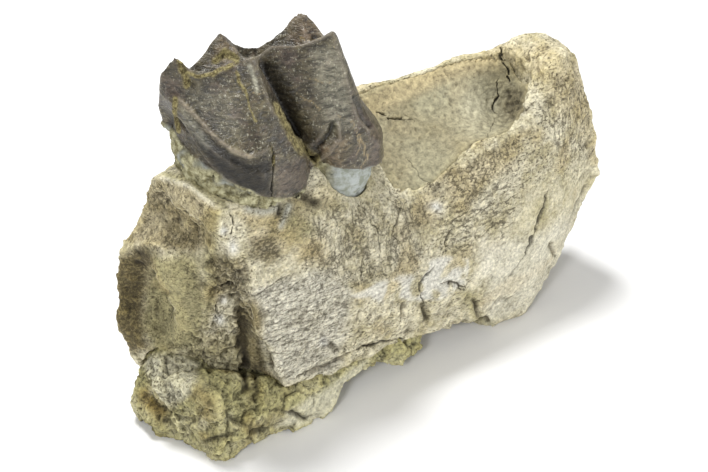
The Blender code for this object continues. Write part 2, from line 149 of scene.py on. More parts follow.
def fineMesh(nodeName, name, settings):  # a fine copy of a CAD node, its facets smoothed away
    piece = bpy.data.objects.new(name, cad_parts[nodeName].data.copy())
    bpy.context.scene.collection.objects.link(piece)
    if "swell" in settings:  # thickens edges that would be thinner than a voxel
        piece.modifiers.new("weld", "WELD").merge_threshold = 0.02 * mm
        swell = piece.modifiers.new("swell", "DISPLACE")
        swell.strength, swell.mid_level = settings["swell"] * mm, 0.0
    voxels = piece.modifiers.new("voxels", "REMESH")
    voxels.mode = "VOXEL"
    voxels.voxel_size = settings["voxel"] * mm
    smooth = piece.modifiers.new("smooth", "SMOOTH")
    smooth.factor = 0.5
    smooth.iterations = settings["smoothing"]
    graph = bpy.context.evaluated_depsgraph_get()
    made = bpy.data.meshes.new_from_object(piece.evaluated_get(graph))
    piece.modifiers.clear()
    piece.data = made
    made.name = name
    made.materials.clear()
    keepLargest(made)
    made.shade_smooth()
    return piece


def readSkin(piece):  # points, normals and edges in millimetres, and where each point shows
    mesh = piece.data
    flat = np.empty(3 * len(mesh.vertices), np.float32)
    mesh.vertices.foreach_get("co", flat)
    points = flat.reshape(-1, 3).astype(float) / mm
    mesh.vertices.foreach_get("normal", flat)
    normals = flat.reshape(-1, 3).astype(float)
    edges = np.empty(2 * len(mesh.edges), np.int32)
    mesh.edges.foreach_get("vertices", edges)
    toEye = eye - points
    facing = (normals * toEye).sum(axis=1) / np.linalg.norm(toEye, axis=1)
    return dict(points=points, normals=normals, edges=edges.reshape(-1, 2), places=inPicture(points),
                seen=ease((facing + 0.05) / 0.3))


def moveSkin(piece, skin, height):  # moves each point along its normal, and keeps it above the floor
    points = skin["points"] + skin["normals"] * height[:, None]
    points[:, 2] = np.maximum(points[:, 2], 0)
    piece.data.vertices.foreach_set("co", (points * mm).astype(np.float32).ravel())
    piece.data.update()
    return readSkin(piece)


def spread(skin, values, times):  # evens values out over neighbouring points
    first, second = skin["edges"].T
    count = len(values)
    links = np.bincount(first, minlength=count) + np.bincount(second, minlength=count)
    for _ in range(times):
        total = np.bincount(first, values[second], count) + np.bincount(second, values[first], count)
        values = total / np.maximum(links, 1)
    return values


def hollowness(skin, times, depth):  # 1 in hollows of that depth, -1 on crests
    smooth = np.column_stack([spread(skin, skin["points"][:, k], times) for k in range(3)])
    return np.clip(((smooth - skin["points"]) * skin["normals"]).sum(axis=1) / depth, -1, 1)


def refineNear(piece, lines, reach, cuts):  # splits the faces that lie near the marks
    skin = readSkin(piece)
    near = np.zeros(len(skin["points"]), bool)
    for line in lines:
        near |= (awayFrom(skin["places"], line) < reach) & (skin["seen"] > 0)
    work = bmesh.new()
    work.from_mesh(piece.data)
    work.verts.ensure_lookup_table()
    chosen = {edge for face in work.faces if any(near[v.index] for v in face.verts) for edge in face.edges}
    chosen = sorted(chosen, key=lambda edge: edge.index)
    bmesh.ops.subdivide_edges(work, edges=chosen, cuts=cuts, use_grid_fill=True)
    bmesh.ops.triangulate(work, faces=[face for face in work.faces if len(face.verts) > 4])
    work.to_mesh(piece.data)
    work.free()
    piece.data.shade_smooth()


def relief(skin, marks):  # height from marks: (line, radius in the picture, height)
    height = np.zeros(len(skin["points"]))
    for line, radius, amount in marks:
        height += amount * np.exp(-(awayFrom(skin["places"], line) / radius) ** 2)
    return height * skin["seen"]


def crackShare(skin, marks):  # 1 in cracks that wander, thin out and fade, from marks: (line, radius, depth)
    points = skin["points"]
    _, _, jag = clods(points, 3.0, 96)
    places = skin["places"] + 2.0 * wander(points, 4.5, (91, 93)) + 1.2 * wander(points, 1.8, (92, 94))
    places += 1.6 * jag[:, None] * (1, -1)
    thin = 0.7 + 0.8 * lumps(points, 3.0, 95)
    share, depth = np.zeros(len(points)), np.zeros(len(points))
    for line, radius, amount in marks:
        toEnd = np.minimum(awayFrom(places, line[:1]), awayFrom(places, line[-1:]))
        width = radius * np.clip(thin, 0.25, 1.4) * (0.4 + 0.6 * ease(toEnd / 9))
        one = np.exp(-(awayFrom(places, line) / width) ** 2) * skin["seen"]
        share, depth = np.maximum(share, one * min(1, 0.35 + 0.6 * amount)), np.maximum(depth, one * amount)
    return share, depth


def along(skin, line, radius, places=None):  # 1 on a line of marks, fading over a radius
    away = awayFrom(skin["places"] if places is None else places, line)
    return np.exp(-(away / radius) ** 2) * skin["seen"]


def regionShares(skin, places, regions):  # 1 inside each named region
    return {name: within(places, outline, softness) * skin["seen"]
            for name, (softness, outline) in regions.items()}


def cover(masks, mask, values):  # adds to a mask, and the strongest counts where they overlap
    masks[mask] = np.maximum(masks.get(mask, 0), values)


def brokenRelief(points, warped, settings, rough):  # swells, chipped facets and pits, deeper where rough
    height = np.zeros(len(points))
    for size, seed, even, more in settings["swells"]:
        height += (even + more * rough) * lumps(points, size, seed)
    for size, seed, even, more in settings["facets"]:
        height += (even + more * rough) * clods(warped, size, seed)[2]
    for size, seed, even, more, radius, softness in settings["pits"]:
        height -= (even + more * rough) * ease((radius - clods(warped, size, seed)[0]) / softness)
    return height


def paint(piece, masks):  # keeps masks on the mesh for its material
    for name, values in masks.items():
        layer = piece.data.attributes.new(name, "FLOAT", "POINT")
        layer.data.foreach_set("value", np.clip(values, 0, 1).astype(np.float32))


def dress(piece, node, material):
    piece.data.materials.append(material)
    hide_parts(node)
    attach(piece, "root")
    print(piece.name, len(piece.data.vertices), "points")


# Materials

def toLinear(hexColour):
    channels = [int(hexColour[i:i + 2], 16) / 255 for i in (1, 3, 5)]
    return (*[c / 12.92 if c <= 0.04045 else ((c + 0.055) / 1.055) ** 2.4 for c in channels], 1.0)


def addNode(tree, kind, settings, inputs, output=0):  # a node with its settings, input values and links
    made = tree.nodes.new(kind)
    for name, value in settings.items():
        setattr(made, name, value)
    for name, value in inputs.items():
        if isinstance(value, bpy.types.NodeSocket):
            tree.links.new(value, made.inputs[name])
        else:
            made.inputs[name].default_value = value
    return made.outputs[output]


def newMaterial(name, roughness, **settings):
    made = bpy.data.materials.new(name)
    made.use_nodes = True
    tree = made.node_tree
    shader = tree.nodes["Principled BSDF"]
    shader.inputs["Roughness"].default_value = roughness
    for socket, value in settings.items():
        shader.inputs[socket].default_value = value
    place = addNode(tree, "ShaderNodeVectorMath", dict(operation="SCALE"),
                    {0: addNode(tree, "ShaderNodeTexCoord", {}, {}, "Object"), "Scale": 1 / mm})
    return made, tree, shader, place  # the place is in millimetres


def stain(tree, colour, mask, hexColour, share=1.0, blend="MIX"):  # lays a colour where the mesh has a mask
    covered = addNode(tree, "ShaderNodeAttribute", dict(attribute_name=mask), {}, "Fac")
    if share != 1.0:
        covered = addNode(tree, "ShaderNodeMath", dict(operation="MULTIPLY"), {0: covered, 1: share})
    return addNode(tree, "ShaderNodeMix", dict(data_type="RGBA", blend_type=blend),
                   {0: covered, 6: colour, 7: toLinear(hexColour)}, 2)


def specks(tree, place, size, low, high, detail=3.0, stretch=(1.0, 1.0, 1.0), mask=None):
    # 0 to 1 from grains of a size in millimetres: 0 below low, 1 above high, and 0 where the mask is 0
    place = addNode(tree, "ShaderNodeVectorMath", dict(operation="MULTIPLY"), {0: place, 1: stretch})
    grain = addNode(tree, "ShaderNodeTexNoise", {}, {"Vector": place, "Scale": 1 / size, "Detail": detail,
                                                     "Roughness": 0.68, "Distortion": 0.3})
    share = addNode(tree, "ShaderNodeMapRange", {}, {0: grain, 1: low, 2: high, 3: 0.0, 4: 1.0})
    if mask:
        covered = addNode(tree, "ShaderNodeAttribute", dict(attribute_name=mask), {}, "Fac")
        share = addNode(tree, "ShaderNodeMath", dict(operation="MULTIPLY"), {0: share, 1: covered})
    return share


def hairlines(tree, place, cell, stretch, mask):  # a net of fine broken lines round cells of a size
    bend = addNode(tree, "ShaderNodeTexNoise", {},
                   {"Vector": place, "Scale": 0.6, "Detail": 5.0, "Roughness": 0.7}, 1)
    place = addNode(tree, "ShaderNodeVectorMath", dict(operation="MULTIPLY_ADD"),
                    {0: bend, 1: (3.0, 3.0, 3.0), 2: place})
    place = addNode(tree, "ShaderNodeVectorMath", dict(operation="MULTIPLY"), {0: place, 1: stretch})
    edge = addNode(tree, "ShaderNodeTexVoronoi", dict(feature="DISTANCE_TO_EDGE"),
                   {"Vector": place, "Scale": 1 / cell})
    line = addNode(tree, "ShaderNodeMapRange", {}, {0: edge, 1: 0.03, 2: 0.1, 3: 1.0, 4: 0.0})
    broken = specks(tree, place, 2.6, 0.38, 0.56, mask=mask)
    return addNode(tree, "ShaderNodeMath", dict(operation="MULTIPLY"), {0: line, 1: broken})


def mottled(tree, place, size, low, high, detail, firstHex, secondHex):  # patches of two colours
    patchy = specks(tree, place, size, low, high, detail)
    return addNode(tree, "ShaderNodeMix", dict(data_type="RGBA"),
                   {0: patchy, 6: toLinear(firstHex), 7: toLinear(secondHex)}, 2)


stone = dict(
    cream="#d6cfb4", tan="#b6ad8a", grit="#3d3521",
    patch=8.0, grain=1.1, pore=0.75, crackle=1.9, lines=3.2,  # millimetres; real pores are finer than these
    layers=dict(olive="#9d966c", ochre="#b8a26a", brown="#75683f", white="#dcdbd3", grey="#a4a69f",
                dark="#4a4333"),
    # the hollow colour is painted shade for hollows, the crest colour a painted highlight for crests
    crack="#231e15", hollow="#6b6149", crest="#fbf6e8",
)


def mineral(name, look, roughness, bump):
    # mineralised bone or silt: broken and weathered, so matt, speckled with pores and dirt; it also carries
    # painted shade in hollows and dark places, and a painted highlight on crests
    made, tree, shader, place = newMaterial(name, roughness)
    colour = mottled(tree, place, look["patch"], 0.42, 0.62, 5.0, look["cream"], look["tan"])
    for mask, hexColour in look["layers"].items():
        colour = stain(tree, colour, mask, hexColour)
    grain = specks(tree, place, look["grain"], 0.3, 0.7, 4.0)
    tones = addNode(tree, "ShaderNodeMapRange", {}, {0: grain, 1: 0.0, 2: 1.0, 3: 0.52, 4: 1.36})
    colour = addNode(tree, "ShaderNodeVectorMath", dict(operation="SCALE"), {0: colour, "Scale": tones})
    marks = [
        specks(tree, place, look["pore"], 0.56, 0.6, 2.0, (0.7, 1.0, 1.0), "pores"),
        # grime specks: real dirt, and painted shade where the mask covers shaded walls, corners and the
        # pocket
        specks(tree, place, 0.9, 0.47, 0.53, 2.0, (0.8, 1.0, 1.0), "grimeAndShade"),
        specks(tree, place, 0.55, 0.52, 0.58, 2.0, (0.16, 1.0, 1.0), "fibre"),
        hairlines(tree, place, look["crackle"], (1.0, 1.0, 1.0), "crackle"),
        hairlines(tree, place, look["lines"], (0.45, 1.0, 1.6), "lengthwise"),
        hairlines(tree, place, look["lines"], (1.6, 1.0, 0.5), "upright"),
    ]
    # pores, dirt and hairlines, together with the painted shade carried by the grime mask
    dirtAndShade = marks[0]
    for mark in marks[1:]:
        dirtAndShade = addNode(tree, "ShaderNodeMath", dict(operation="ADD", use_clamp=True), {0: dirtAndShade, 1: mark})
    faint = addNode(tree, "ShaderNodeMath", dict(operation="MULTIPLY"), {0: dirtAndShade, 1: 0.8})
    colour = addNode(tree, "ShaderNodeMix", dict(data_type="RGBA"),
                     {0: faint, 6: colour, 7: toLinear(look["grit"])}, 2)
    # painted shade in hollows and a painted highlight on crests
    colour = stain(tree, colour, "hollow", look["hollow"], 0.9, "MULTIPLY")
    colour = stain(tree, colour, "crest", look["crest"], 0.5, "SOFT_LIGHT")
    colour = stain(tree, colour, "crack", look["crack"])
    tree.links.new(colour, shader.inputs["Base Color"])
    height = addNode(tree, "ShaderNodeMath", dict(operation="SUBTRACT"), {0: grain, 1: dirtAndShade})
    bumps = addNode(tree, "ShaderNodeBump", {}, {"Height": height, "Strength": 1.0, "Distance": bump * mm})
    tree.links.new(bumps, shader.inputs["Normal"])
    return made


# Jaw bone

jawBone = dict(
    voxel=0.84, smoothing=5,
    forms=[  # (marks, radius, height): rims, ridges, grooves and pits seen in the picture
        ([(158, 178), (175, 181), (190, 187), (203, 197), (216, 207)], 1.6, 0.8),
        ([(183, 200), (192, 216)], 13.0, 1.8),
        ([(121, 254), (135, 246), (150, 244), (168, 248)], 3.5, 0.9),
        ([(217, 214), (213, 249), (210, 284), (206, 316), (206, 333)], 8.0, 0.8),
        ([(172, 262), (182, 290), (186, 322)], 17.0, 2.4),
        ([(142, 258), (137, 290), (132, 318)], 8.0, -0.6),
        ([(213, 290), (230, 283), (247, 294)], 3.0, -1.4),
        ([(238, 300), (242, 330), (245, 355), (246, 384)], 3.6, -1.9),
        ([(238, 274), (249, 300), (247, 345)], 5.0, -0.9),
        ([(252, 268), (254, 290), (256, 316), (262, 342), (271, 373), (281, 387)], 4.0, 0.7),
        ([(216, 350), (226, 366), (218, 380)], 12.0, 1.4),
        ([(172, 366), (185, 372), (206, 371)], 2.6, -1.8),
        ([(150, 376), (172, 380), (192, 388)], 8.0, 1.6),
        ([(300, 378), (330, 366), (356, 350), (372, 345)], 3.0, -1.4),
        ([(350, 292), (400, 278), (440, 262), (466, 262)], 9.0, 0.5),
        ([(423, 306), (426, 318)], 3.2, -1.7),
        ([(447, 283), (459, 286)], 2.4, -1.1),
        ([(298, 192), (314, 202)], 6.0, -1.2),
        ([(248, 209), (262, 212), (276, 209)], 5.0, 0.8),
        ([(289, 206), (285, 216), (281, 227)], 3.0, 0.9),
        ([(280, 206), (278, 214)], 1.8, -1.0),
        ([(552, 245), (555, 256)], 2.0, -1.4),
        ([(474, 301), (478, 316)], 2.2, -1.5),
        ([(404, 306), (402, 318)], 2.2, -1.1),
        ([(360, 312), (357, 320)], 2.0, -1.1),
        ([(332, 344), (337, 352)], 2.0, -1.0),
        ([(236, 334), (239, 346)], 2.4, -1.5),
        ([(202, 357), (210, 362)], 2.2, -1.3),
    ],
    cracks=[  # (marks, radius, depth)
        ([(230, 212), (234, 224), (232, 237)], 1.1, 1.0),
        ([(550, 190), (545, 206), (538, 222), (536, 231), (526, 252)], 1.4, 0.8),
        ([(526, 252), (516, 268), (508, 280)], 0.8, 0.25),
        ([(451, 229), (446, 240), (446, 252)], 1.1, 0.7),
        ([(434, 267), (426, 276), (420, 283), (423, 304)], 1.2, 0.9),
        ([(440, 284), (447, 281), (456, 284), (464, 290)], 1.0, 0.7),
        ([(500, 46), (504, 62), (507, 70), (510, 82)], 1.4, 1.5),
        ([(372, 218), (378, 235), (381, 256)], 0.9, 0.5),
        ([(400, 206), (397, 224), (393, 236), (401, 244)], 1.0, 0.6),
        ([(362, 262), (363, 284)], 0.7, 0.3),
        ([(347, 352), (362, 347), (392, 340), (408, 340)], 1.5, 1.3),
        ([(246, 298), (262, 292), (290, 276)], 0.8, 0.5),
        ([(262, 344), (292, 334), (330, 318)], 0.7, 0.3),
        ([(213, 290), (224, 284), (238, 282)], 1.2, 0.8),
        ([(216, 306), (219, 320)], 1.2, 0.9),
        ([(210, 331), (226, 331)], 1.2, 0.9),
        ([(240, 286), (252, 296)], 1.6, 1.0),
        ([(196, 346), (204, 356), (212, 360)], 1.0, 0.8),
        ([(410, 122), (419, 128)], 0.8, 0.4),
        ([(552, 268), (548, 276), (556, 282)], 1.0, 0.6),
        ([(415, 166), (425, 178), (433, 188)], 0.9, 0.5),
    ],
    # (size, seed, height, more where rough), and for pits also a radius and a softness in sizes
    swells=[(7.5, 1, 0.15, 0.6), (3.4, 2, 0.12, 0.35), (1.6, 3, 0.06, 0.2)],
    facets=[(9.0, 14, 0.1, 1.1), (3.6, 15, 0.08, 0.5)],
    pits=[(4.5, 5, 0.0, 0.8, 0.25, 0.2)],
    roughness=dict(least=0.1, front=0.4, rear=0.45, under=0.7, tongueSide=0.35, chips=0.5, edges=0.5,
                   wall=0.6),
    bowlCalm=0.7,  # how much smoother the bowl is than the rest of the broken front
    faces=dict(  # parts of the broken surface: (softness, outline)
        crumbs=(5, [(206, 256), (243, 256), (252, 290), (243, 330), (245, 382), (206, 378), (186, 350),
                    (210, 300)]),
        ledge=(5, [(142, 360), (200, 360), (206, 398), (186, 414), (148, 408)]),
        bowl=(8, [(150, 252), (198, 256), (206, 330), (150, 352), (140, 320)]),
        chips=(8, [(300, 296), (360, 300), (430, 300), (478, 280), (500, 300), (470, 334), (300, 384)]),
        edges=(6, [(500, 30), (560, 28), (610, 120), (606, 200), (560, 300), (530, 310), (574, 220),
                   (576, 120), (540, 50)]),
        wall=(6, [(112, 254), (146, 250), (146, 290), (134, 330), (110, 330)]),
    ),
    regions=dict(  # stained or textured places: (softness, outline)
        socket=(5, [(134, 190), (160, 178), (216, 206), (212, 250), (196, 254), (150, 246), (130, 244)]),
        socketRim=(3, [(158, 170), (190, 174), (226, 194), (228, 210), (214, 205), (190, 187), (168, 179)]),
        # the bowl's left wall lies in shade: brown and grime there are painted shade
        shadedLeftWall=(8, [(118, 254), (146, 246), (152, 258), (146, 290), (140, 318), (150, 348), (128, 354),
                      (110, 320)]),
        darkWall=(4, [(238, 300), (258, 300), (262, 340), (268, 376), (246, 384), (240, 350)]),
        brokenEdge=(6, [(208, 256), (246, 262), (250, 296), (212, 292)]),
        bowl=(8, [(150, 256), (200, 258), (206, 300), (202, 345), (160, 356), (140, 322)]),
        besideBowl=(5, [(204, 206), (218, 208), (216, 300), (204, 345), (200, 300)]),
        lump=(6, [(192, 340), (236, 340), (244, 372), (210, 384), (184, 360)]),
        speckled=(6, [(252, 238), (272, 236), (280, 256), (262, 264), (248, 254)]),
        underTooth=(7, [(282, 200), (320, 196), (350, 202), (330, 216), (290, 226)]),
        belowRoot=(8, [(264, 214), (300, 212), (320, 232), (300, 244), (268, 240)]),
        cheekFront=(8, [(236, 212), (260, 204), (290, 226), (296, 246), (262, 232)]),
        cheekSpot=(10, [(294, 240), (322, 240), (322, 262), (296, 262)]),
        cheekUpper=(8, [(372, 202), (424, 194), (432, 222), (404, 238), (374, 230)]),
        cheekMiddle=(12, [(300, 214), (344, 204), (420, 196), (432, 236), (418, 272), (350, 280),
                          (310, 262)]),
        cheekRear=(14, [(524, 170), (596, 160), (580, 250), (524, 320), (480, 326), (500, 260)]),
        paleRear=(10, [(480, 244), (540, 236), (580, 200), (576, 250), (530, 318), (486, 322)]),
        calmRear=(12, [(476, 236), (516, 190), (600, 170), (590, 250), (530, 322), (480, 326)]),
        streaked=(10, [(430, 210), (500, 176), (524, 196), (506, 240), (452, 250)]),
        plate=(8, [(256, 284), (330, 268), (352, 288), (344, 340), (340, 368), (282, 388), (262, 340)]),
        whitePatch=(2.5, [(345, 294), (392, 278), (432, 258), (470, 258), (470, 284), (436, 304),
                          (380, 302)]),
        nearRim=(6, [(444, 196), (452, 170), (490, 148), (532, 132), (520, 156), (490, 184), (466, 204)]),
        rimGap=(5, [(420, 176), (444, 158), (456, 168), (446, 196), (428, 204)]),
        rearHump=(12, [(440, 50), (500, 42), (560, 40), (590, 84), (596, 150), (560, 110), (520, 70)]),
        humpSide=(8, [(540, 70), (590, 90), (592, 160), (552, 150)]),
        # the edge of the crypt's shaded pocket
        shadedPocketEdge=(8, [(506, 84), (524, 86), (532, 110), (512, 126), (500, 110)]),
    ),
    stains=dict(  # mask: its strength in each region, and the strongest counts where regions overlap
        olive=dict(bowl=0.9, besideBowl=0.75, lump=0.5, cheekRear=0.2, underTooth=0.5, socketRim=0.7,
                   belowRoot=0.85),
        ochre=dict(rearHump=0.4, cheekSpot=0.5, cheekFront=0.5, nearRim=0.4, socket=0.35),
        # brown and grime on the bowl's left wall are painted shade
        brown=dict(socket=0.3, shadedLeftWall=0.95, darkWall=0.75, brokenEdge=0.5, speckled=0.65, rimGap=0.35),
        white=dict(plate=0.4, paleRear=0.35),
        # dark at the edge of the crypt's pocket is painted shade
        dark=dict(shadedPocketEdge=0.3),
        grimeAndShade=dict(shadedLeftWall=0.85, darkWall=0.5, brokenEdge=0.7, speckled=0.95, lump=0.3, belowRoot=0.35,
                   bowl=0.2),
        fibre=dict(plate=0.5), crackle=dict(nearRim=1.0), upright=dict(humpSide=0.8),
        lengthwise=dict(streaked=1.0, plate=0.6),
    ),
    blotchyStains=[  # (mask, region, strength, more in blotches)
        ("grimeAndShade", "socket", 0.3, 0.3), ("grimeAndShade", "cheekMiddle", 0.0, 0.3), ("brown", "cheekUpper", 0.0, 0.4),
        ("crackle", "cheekMiddle", 0.0, 0.5), ("upright", "cheekMiddle", 0.5, 0.5),
    ],
    strokes=[  # (mask, strength, radius, marks)
        ("white", 0.35, 2.2, [(158, 178), (175, 181), (190, 187), (203, 197), (216, 207)]),
        ("olive", 0.7, 6.0, [(468, 296), (476, 318), (500, 326)]),
        ("grey", 0.9, 5.0, [(248, 209), (262, 212), (276, 209)]),
        ("grey", 0.9, 3.4, [(289, 206), (285, 216), (281, 227)]),
        # the dark strokes are painted shade in pits, grooves, notches and crevices, and a painted shadow
        # under the root
        ("dark", 0.7, 4.0, [(244, 350), (246, 384)]), ("dark", 0.7, 3.5, [(423, 305), (426, 318)]),
        ("dark", 0.7, 3.0, [(236, 334), (239, 346)]), ("dark", 0.7, 5.0, [(298, 192), (316, 204)]),
        ("dark", 0.7, 5.0, [(142, 254), (148, 258)]), ("dark", 0.7, 2.4, [(280, 206), (277, 216)]),
        ("dark", 0.7, 2.5, [(474, 301), (478, 316)]),
    ],
    spots=[  # (mask, strength, radius, one mark)
        ("white", 0.95, 6.0, [(232, 248)]), ("white", 0.95, 4.0, [(222, 234)]),
        ("white", 0.95, 5.0, [(433, 209)]), ("white", 0.95, 6.0, [(326, 342)]),
        ("white", 0.95, 5.0, [(224, 300)]), ("white", 0.95, 6.0, [(221, 322)]),
        ("white", 0.95, 4.0, [(286, 392)]), ("olive", 0.9, 4.0, [(350, 283)]),
        # this dark spot is painted shade in a groove
        ("dark", 0.5, 7.0, [(240, 278)]),
    ],
    rearCrack=[(549, 200), (545, 214), (537, 232), (527, 256)],  # olive dirt lies along it
    shadeUnderNearRim=[(433, 190), (452, 176), (472, 163), (500, 147), (526, 130)],  # painted shade under the near rim
)


def bonePatches(skin):  # masks of stains and textures
    points, normals, seen = skin["points"], skin["normals"], skin["seen"]
    places = skin["places"] + 6 * wander(points, 9, (21, 22))
    region = regionShares(skin, places, jawBone["regions"])
    hidden = 1 - seen
    cheek = ease((-normals[:, 1] - 0.2) / 0.4)
    blotch = patches(points, 6, 23, 1.2, 0.5)
    masks = {}
    for mask, strengths in jawBone["stains"].items():
        for name, strength in strengths.items():
            cover(masks, mask, strength * region[name])
    for mask, name, even, more in jawBone["blotchyStains"]:
        cover(masks, mask, (even + more * blotch) * region[name])
    for mask, strength, radius, line in jawBone["strokes"]:
        cover(masks, mask, strength * along(skin, line, radius))
    for mask, strength, radius, line in jawBone["spots"]:
        cover(masks, mask, strength * along(skin, line, radius, places))
    cover(masks, "white", 0.72 * patches(points, 4.5, 24, 2.4, 0.85) * region["whitePatch"])
    cover(masks, "olive", 0.55 * patches(points, 18, 5, 2, -0.1) * hidden)
    cover(masks, "olive", 0.8 * blotch * along(skin, jawBone["rearCrack"], 4.5))
    cover(masks, "ochre", 0.4 * patches(points, 11, 6, 2, -0.3) * (1 - 0.8 * region["plate"]))
    cover(masks, "brown", 0.45 * patches(points, 14, 8, 2, -0.35) * np.maximum(hidden, 0.15))
    # painted shade under the near rim
    cover(masks, "dark", 0.7 * blotch * along(skin, jawBone["shadeUnderNearRim"], 2.6, places))
    cover(masks, "fibre", 0.25 * cheek * seen * (1 - region["calmRear"]))
    pores = np.maximum((0.45 + 0.5 * blotch) * (1 - 0.6 * region["calmRear"]), 0.75 * region["plate"])
    cover(masks, "pores", pores * (1 - 0.15 * region["bowl"]) * (1 - 0.6 * ease(masks["white"])))
    return masks


def makeJawBone():
    piece = fineMesh("jaw_bone", "jawBone", jawBone)
    skin = readSkin(piece)
    moveSkin(piece, skin, relief(skin, jawBone["forms"]))
    refineNear(piece, [line for line, _, _ in jawBone["cracks"]], 3.0, 2)
    skin = readSkin(piece)
    points, normals = skin["points"], skin["normals"]
    face = regionShares(skin, skin["places"], jawBone["faces"])
    crumbs = np.maximum(face["crumbs"], face["ledge"])
    share = jawBone["roughness"]
    rough = share["least"] + share["front"] * ease((-normals[:, 0] - 0.25) / 0.35)
    rough += share["rear"] * ease((normals[:, 0] - 0.3) / 0.4)
    rough += share["under"] * ease((-normals[:, 2] - 0.1) / 0.4) + share["tongueSide"] * ease(normals[:, 1])
    rough = np.clip(rough, 0, 1) * (1 - jawBone["bowlCalm"] * face["bowl"])
    marked = [share[name] * face[name] for name in ("chips", "edges", "wall")]
    rough = spread(skin, np.maximum.reduce([rough, crumbs, *marked]), 8)
    warped = points + 1.6 * wander(points, 3.2, (6, 7, 8))
    height = brokenRelief(points, warped, jawBone, rough)
    first, second, rise = clods(warped, 2.3, 4)  # crumbs with grooves between them
    height += crumbs * (0.7 * ease((second - first) / 0.25) - 0.6 + 0.9 * rise + 0.5 * lumps(points, 1.2, 9))
    cracks, depth = crackShare(skin, jawBone["cracks"])
    skin = moveSkin(piece, skin, height - depth)
    near, wide = hollowness(skin, 6, 0.35), hollowness(skin, 30, 1.4)
    masks = bonePatches(skin)
    # painted shade in hollows and a painted highlight on crests
    masks.update(crack=cracks, hollow=0.7 * ease(near) + 0.2 * ease(wide), crest=ease(-near))
    paint(piece, masks)
    dress(piece, "jaw_bone", mineral("fossilBoneWeathered", stone, 0.86, 0.22))


# Silt in the open crypt behind the molar

cryptSilt = dict(
    voxel=0.6, smoothing=10, grow=0.75,
    cracks=[
        ([(498, 79), (496, 88), (498, 97), (493, 103), (495, 114), (500, 119)], 1.3, 1.1),
        ([(493, 119), (491, 128), (488, 138)], 0.8, 0.4),
        ([(374, 112), (389, 120), (400, 119), (414, 122)], 1.0, 0.7),
        ([(406, 159), (412, 167), (420, 178), (436, 190)], 0.7, 0.25),
        ([(442, 71), (447, 78)], 0.8, 0.4),
        ([(500, 46), (504, 62), (507, 70), (510, 82)], 1.4, 1.4),
    ],
    # read as for the jaw bone
    swells=[(10, 31, 0.3, 0.0), (3, 32, 0.1, 0.0), (1.5, 33, 0.05, 0.3)],
    facets=[(6, 34, 0.25, 0.0), (2.6, 41, 0.0, 0.8)],
    pits=[(6, 34, 0.5, 0.0, 0.13, 0.1), (2.6, 41, 0.0, 0.6, 0.4, 0.3)],
    corner=((513, 104), (14, 18)),  # the rough dark corner, and two patches: (middle, radii); painted shade lies in the shaded corner
    shadedCorner=((514, 104), (15, 20)), palePatch=((474, 106), (22, 24)), brownPatch=((438, 134), (24, 20)),
    yellowEdge=[(350, 100), (420, 70), (500, 46), (500, 66), (440, 84), (390, 108), (372, 120)],
)
smoothSilt = dict(
    cream="#9d9578", tan="#8b8365", grit="#4c4430", patch=14.0, grain=1.6, pore=1.0, crackle=3.0, lines=5.0,
    layers=dict(olive="#98947a", ochre="#c6b488", brown="#6d6145", white="#bdb9a0", dark="#4c4531"),
    # painted shade colour for hollows, painted highlight colour for crests
    crack="#231e15", hollow="#6f664e", crest="#f6f0df",
)


def roundPatch(places, name):  # 1 in the middle of a round patch of the crypt
    middle, radii = cryptSilt[name]
    return np.exp(-(((places - middle) / radii) ** 2).sum(axis=1))


def makeCryptSilt():
    piece = fineMesh("crypt_silt", "cryptSilt", cryptSilt)
    refineNear(piece, [line for line, _, _ in cryptSilt["cracks"]], 3.0, 2)
    skin = readSkin(piece)
    points = skin["points"]
    height = cryptSilt["grow"] + brokenRelief(points, points, cryptSilt, roundPatch(skin["places"], "corner"))
    cracks, depth = crackShare(skin, cryptSilt["cracks"])
    skin = moveSkin(piece, skin, height - depth)
    points, places = skin["points"], skin["places"]
    near = hollowness(skin, 8, 0.3)
    flecks, _, _ = clods(points, 4.2, 42)
    corner = roundPatch(places, "shadedCorner")
    yellow = within(places, cryptSilt["yellowEdge"], 8)
    # painted shade in hollows and in the shaded corner, and a painted highlight on crests
    masks = dict(crack=cracks, hollow=0.6 * ease(near) + 0.25 * corner, crest=0.5 * ease(-near))
    masks["olive"] = 0.7 * patches(points, 14, 35, 1, 0.5) * (1 - yellow)
    masks["ochre"] = np.maximum(0.5 * yellow, 0.2 * patches(points, 9, 36, 2, -0.3))
    # brown, dark and grime in the shaded corner are painted shade; the small dark and brown flecks are the
    # silt's own
    masks["brown"] = np.maximum(0.5 * corner, 0.2 * roundPatch(places, "brownPatch"))
    cover(masks, "brown", 0.6 * ease((0.16 - flecks) / 0.06))
    masks["white"] = 0.65 * roundPatch(places, "palePatch")
    masks["dark"] = np.maximum(0.3 * corner, 0.5 * ease((0.1 - flecks) / 0.05))
    masks["grimeAndShade"] = 0.55 * corner
    masks["pores"] = 0.25 + 0.3 * patches(points, 8, 39, 1, 0)
    masks["crackle"] = 0.3 * patches(points, 12, 40, 2, -0.4)
    paint(piece, masks)
    dress(piece, "crypt_silt", mineral("siltstoneSmooth", smoothSilt, 0.9, 0.15))


# Rough block of silt and crumbled bone under the front

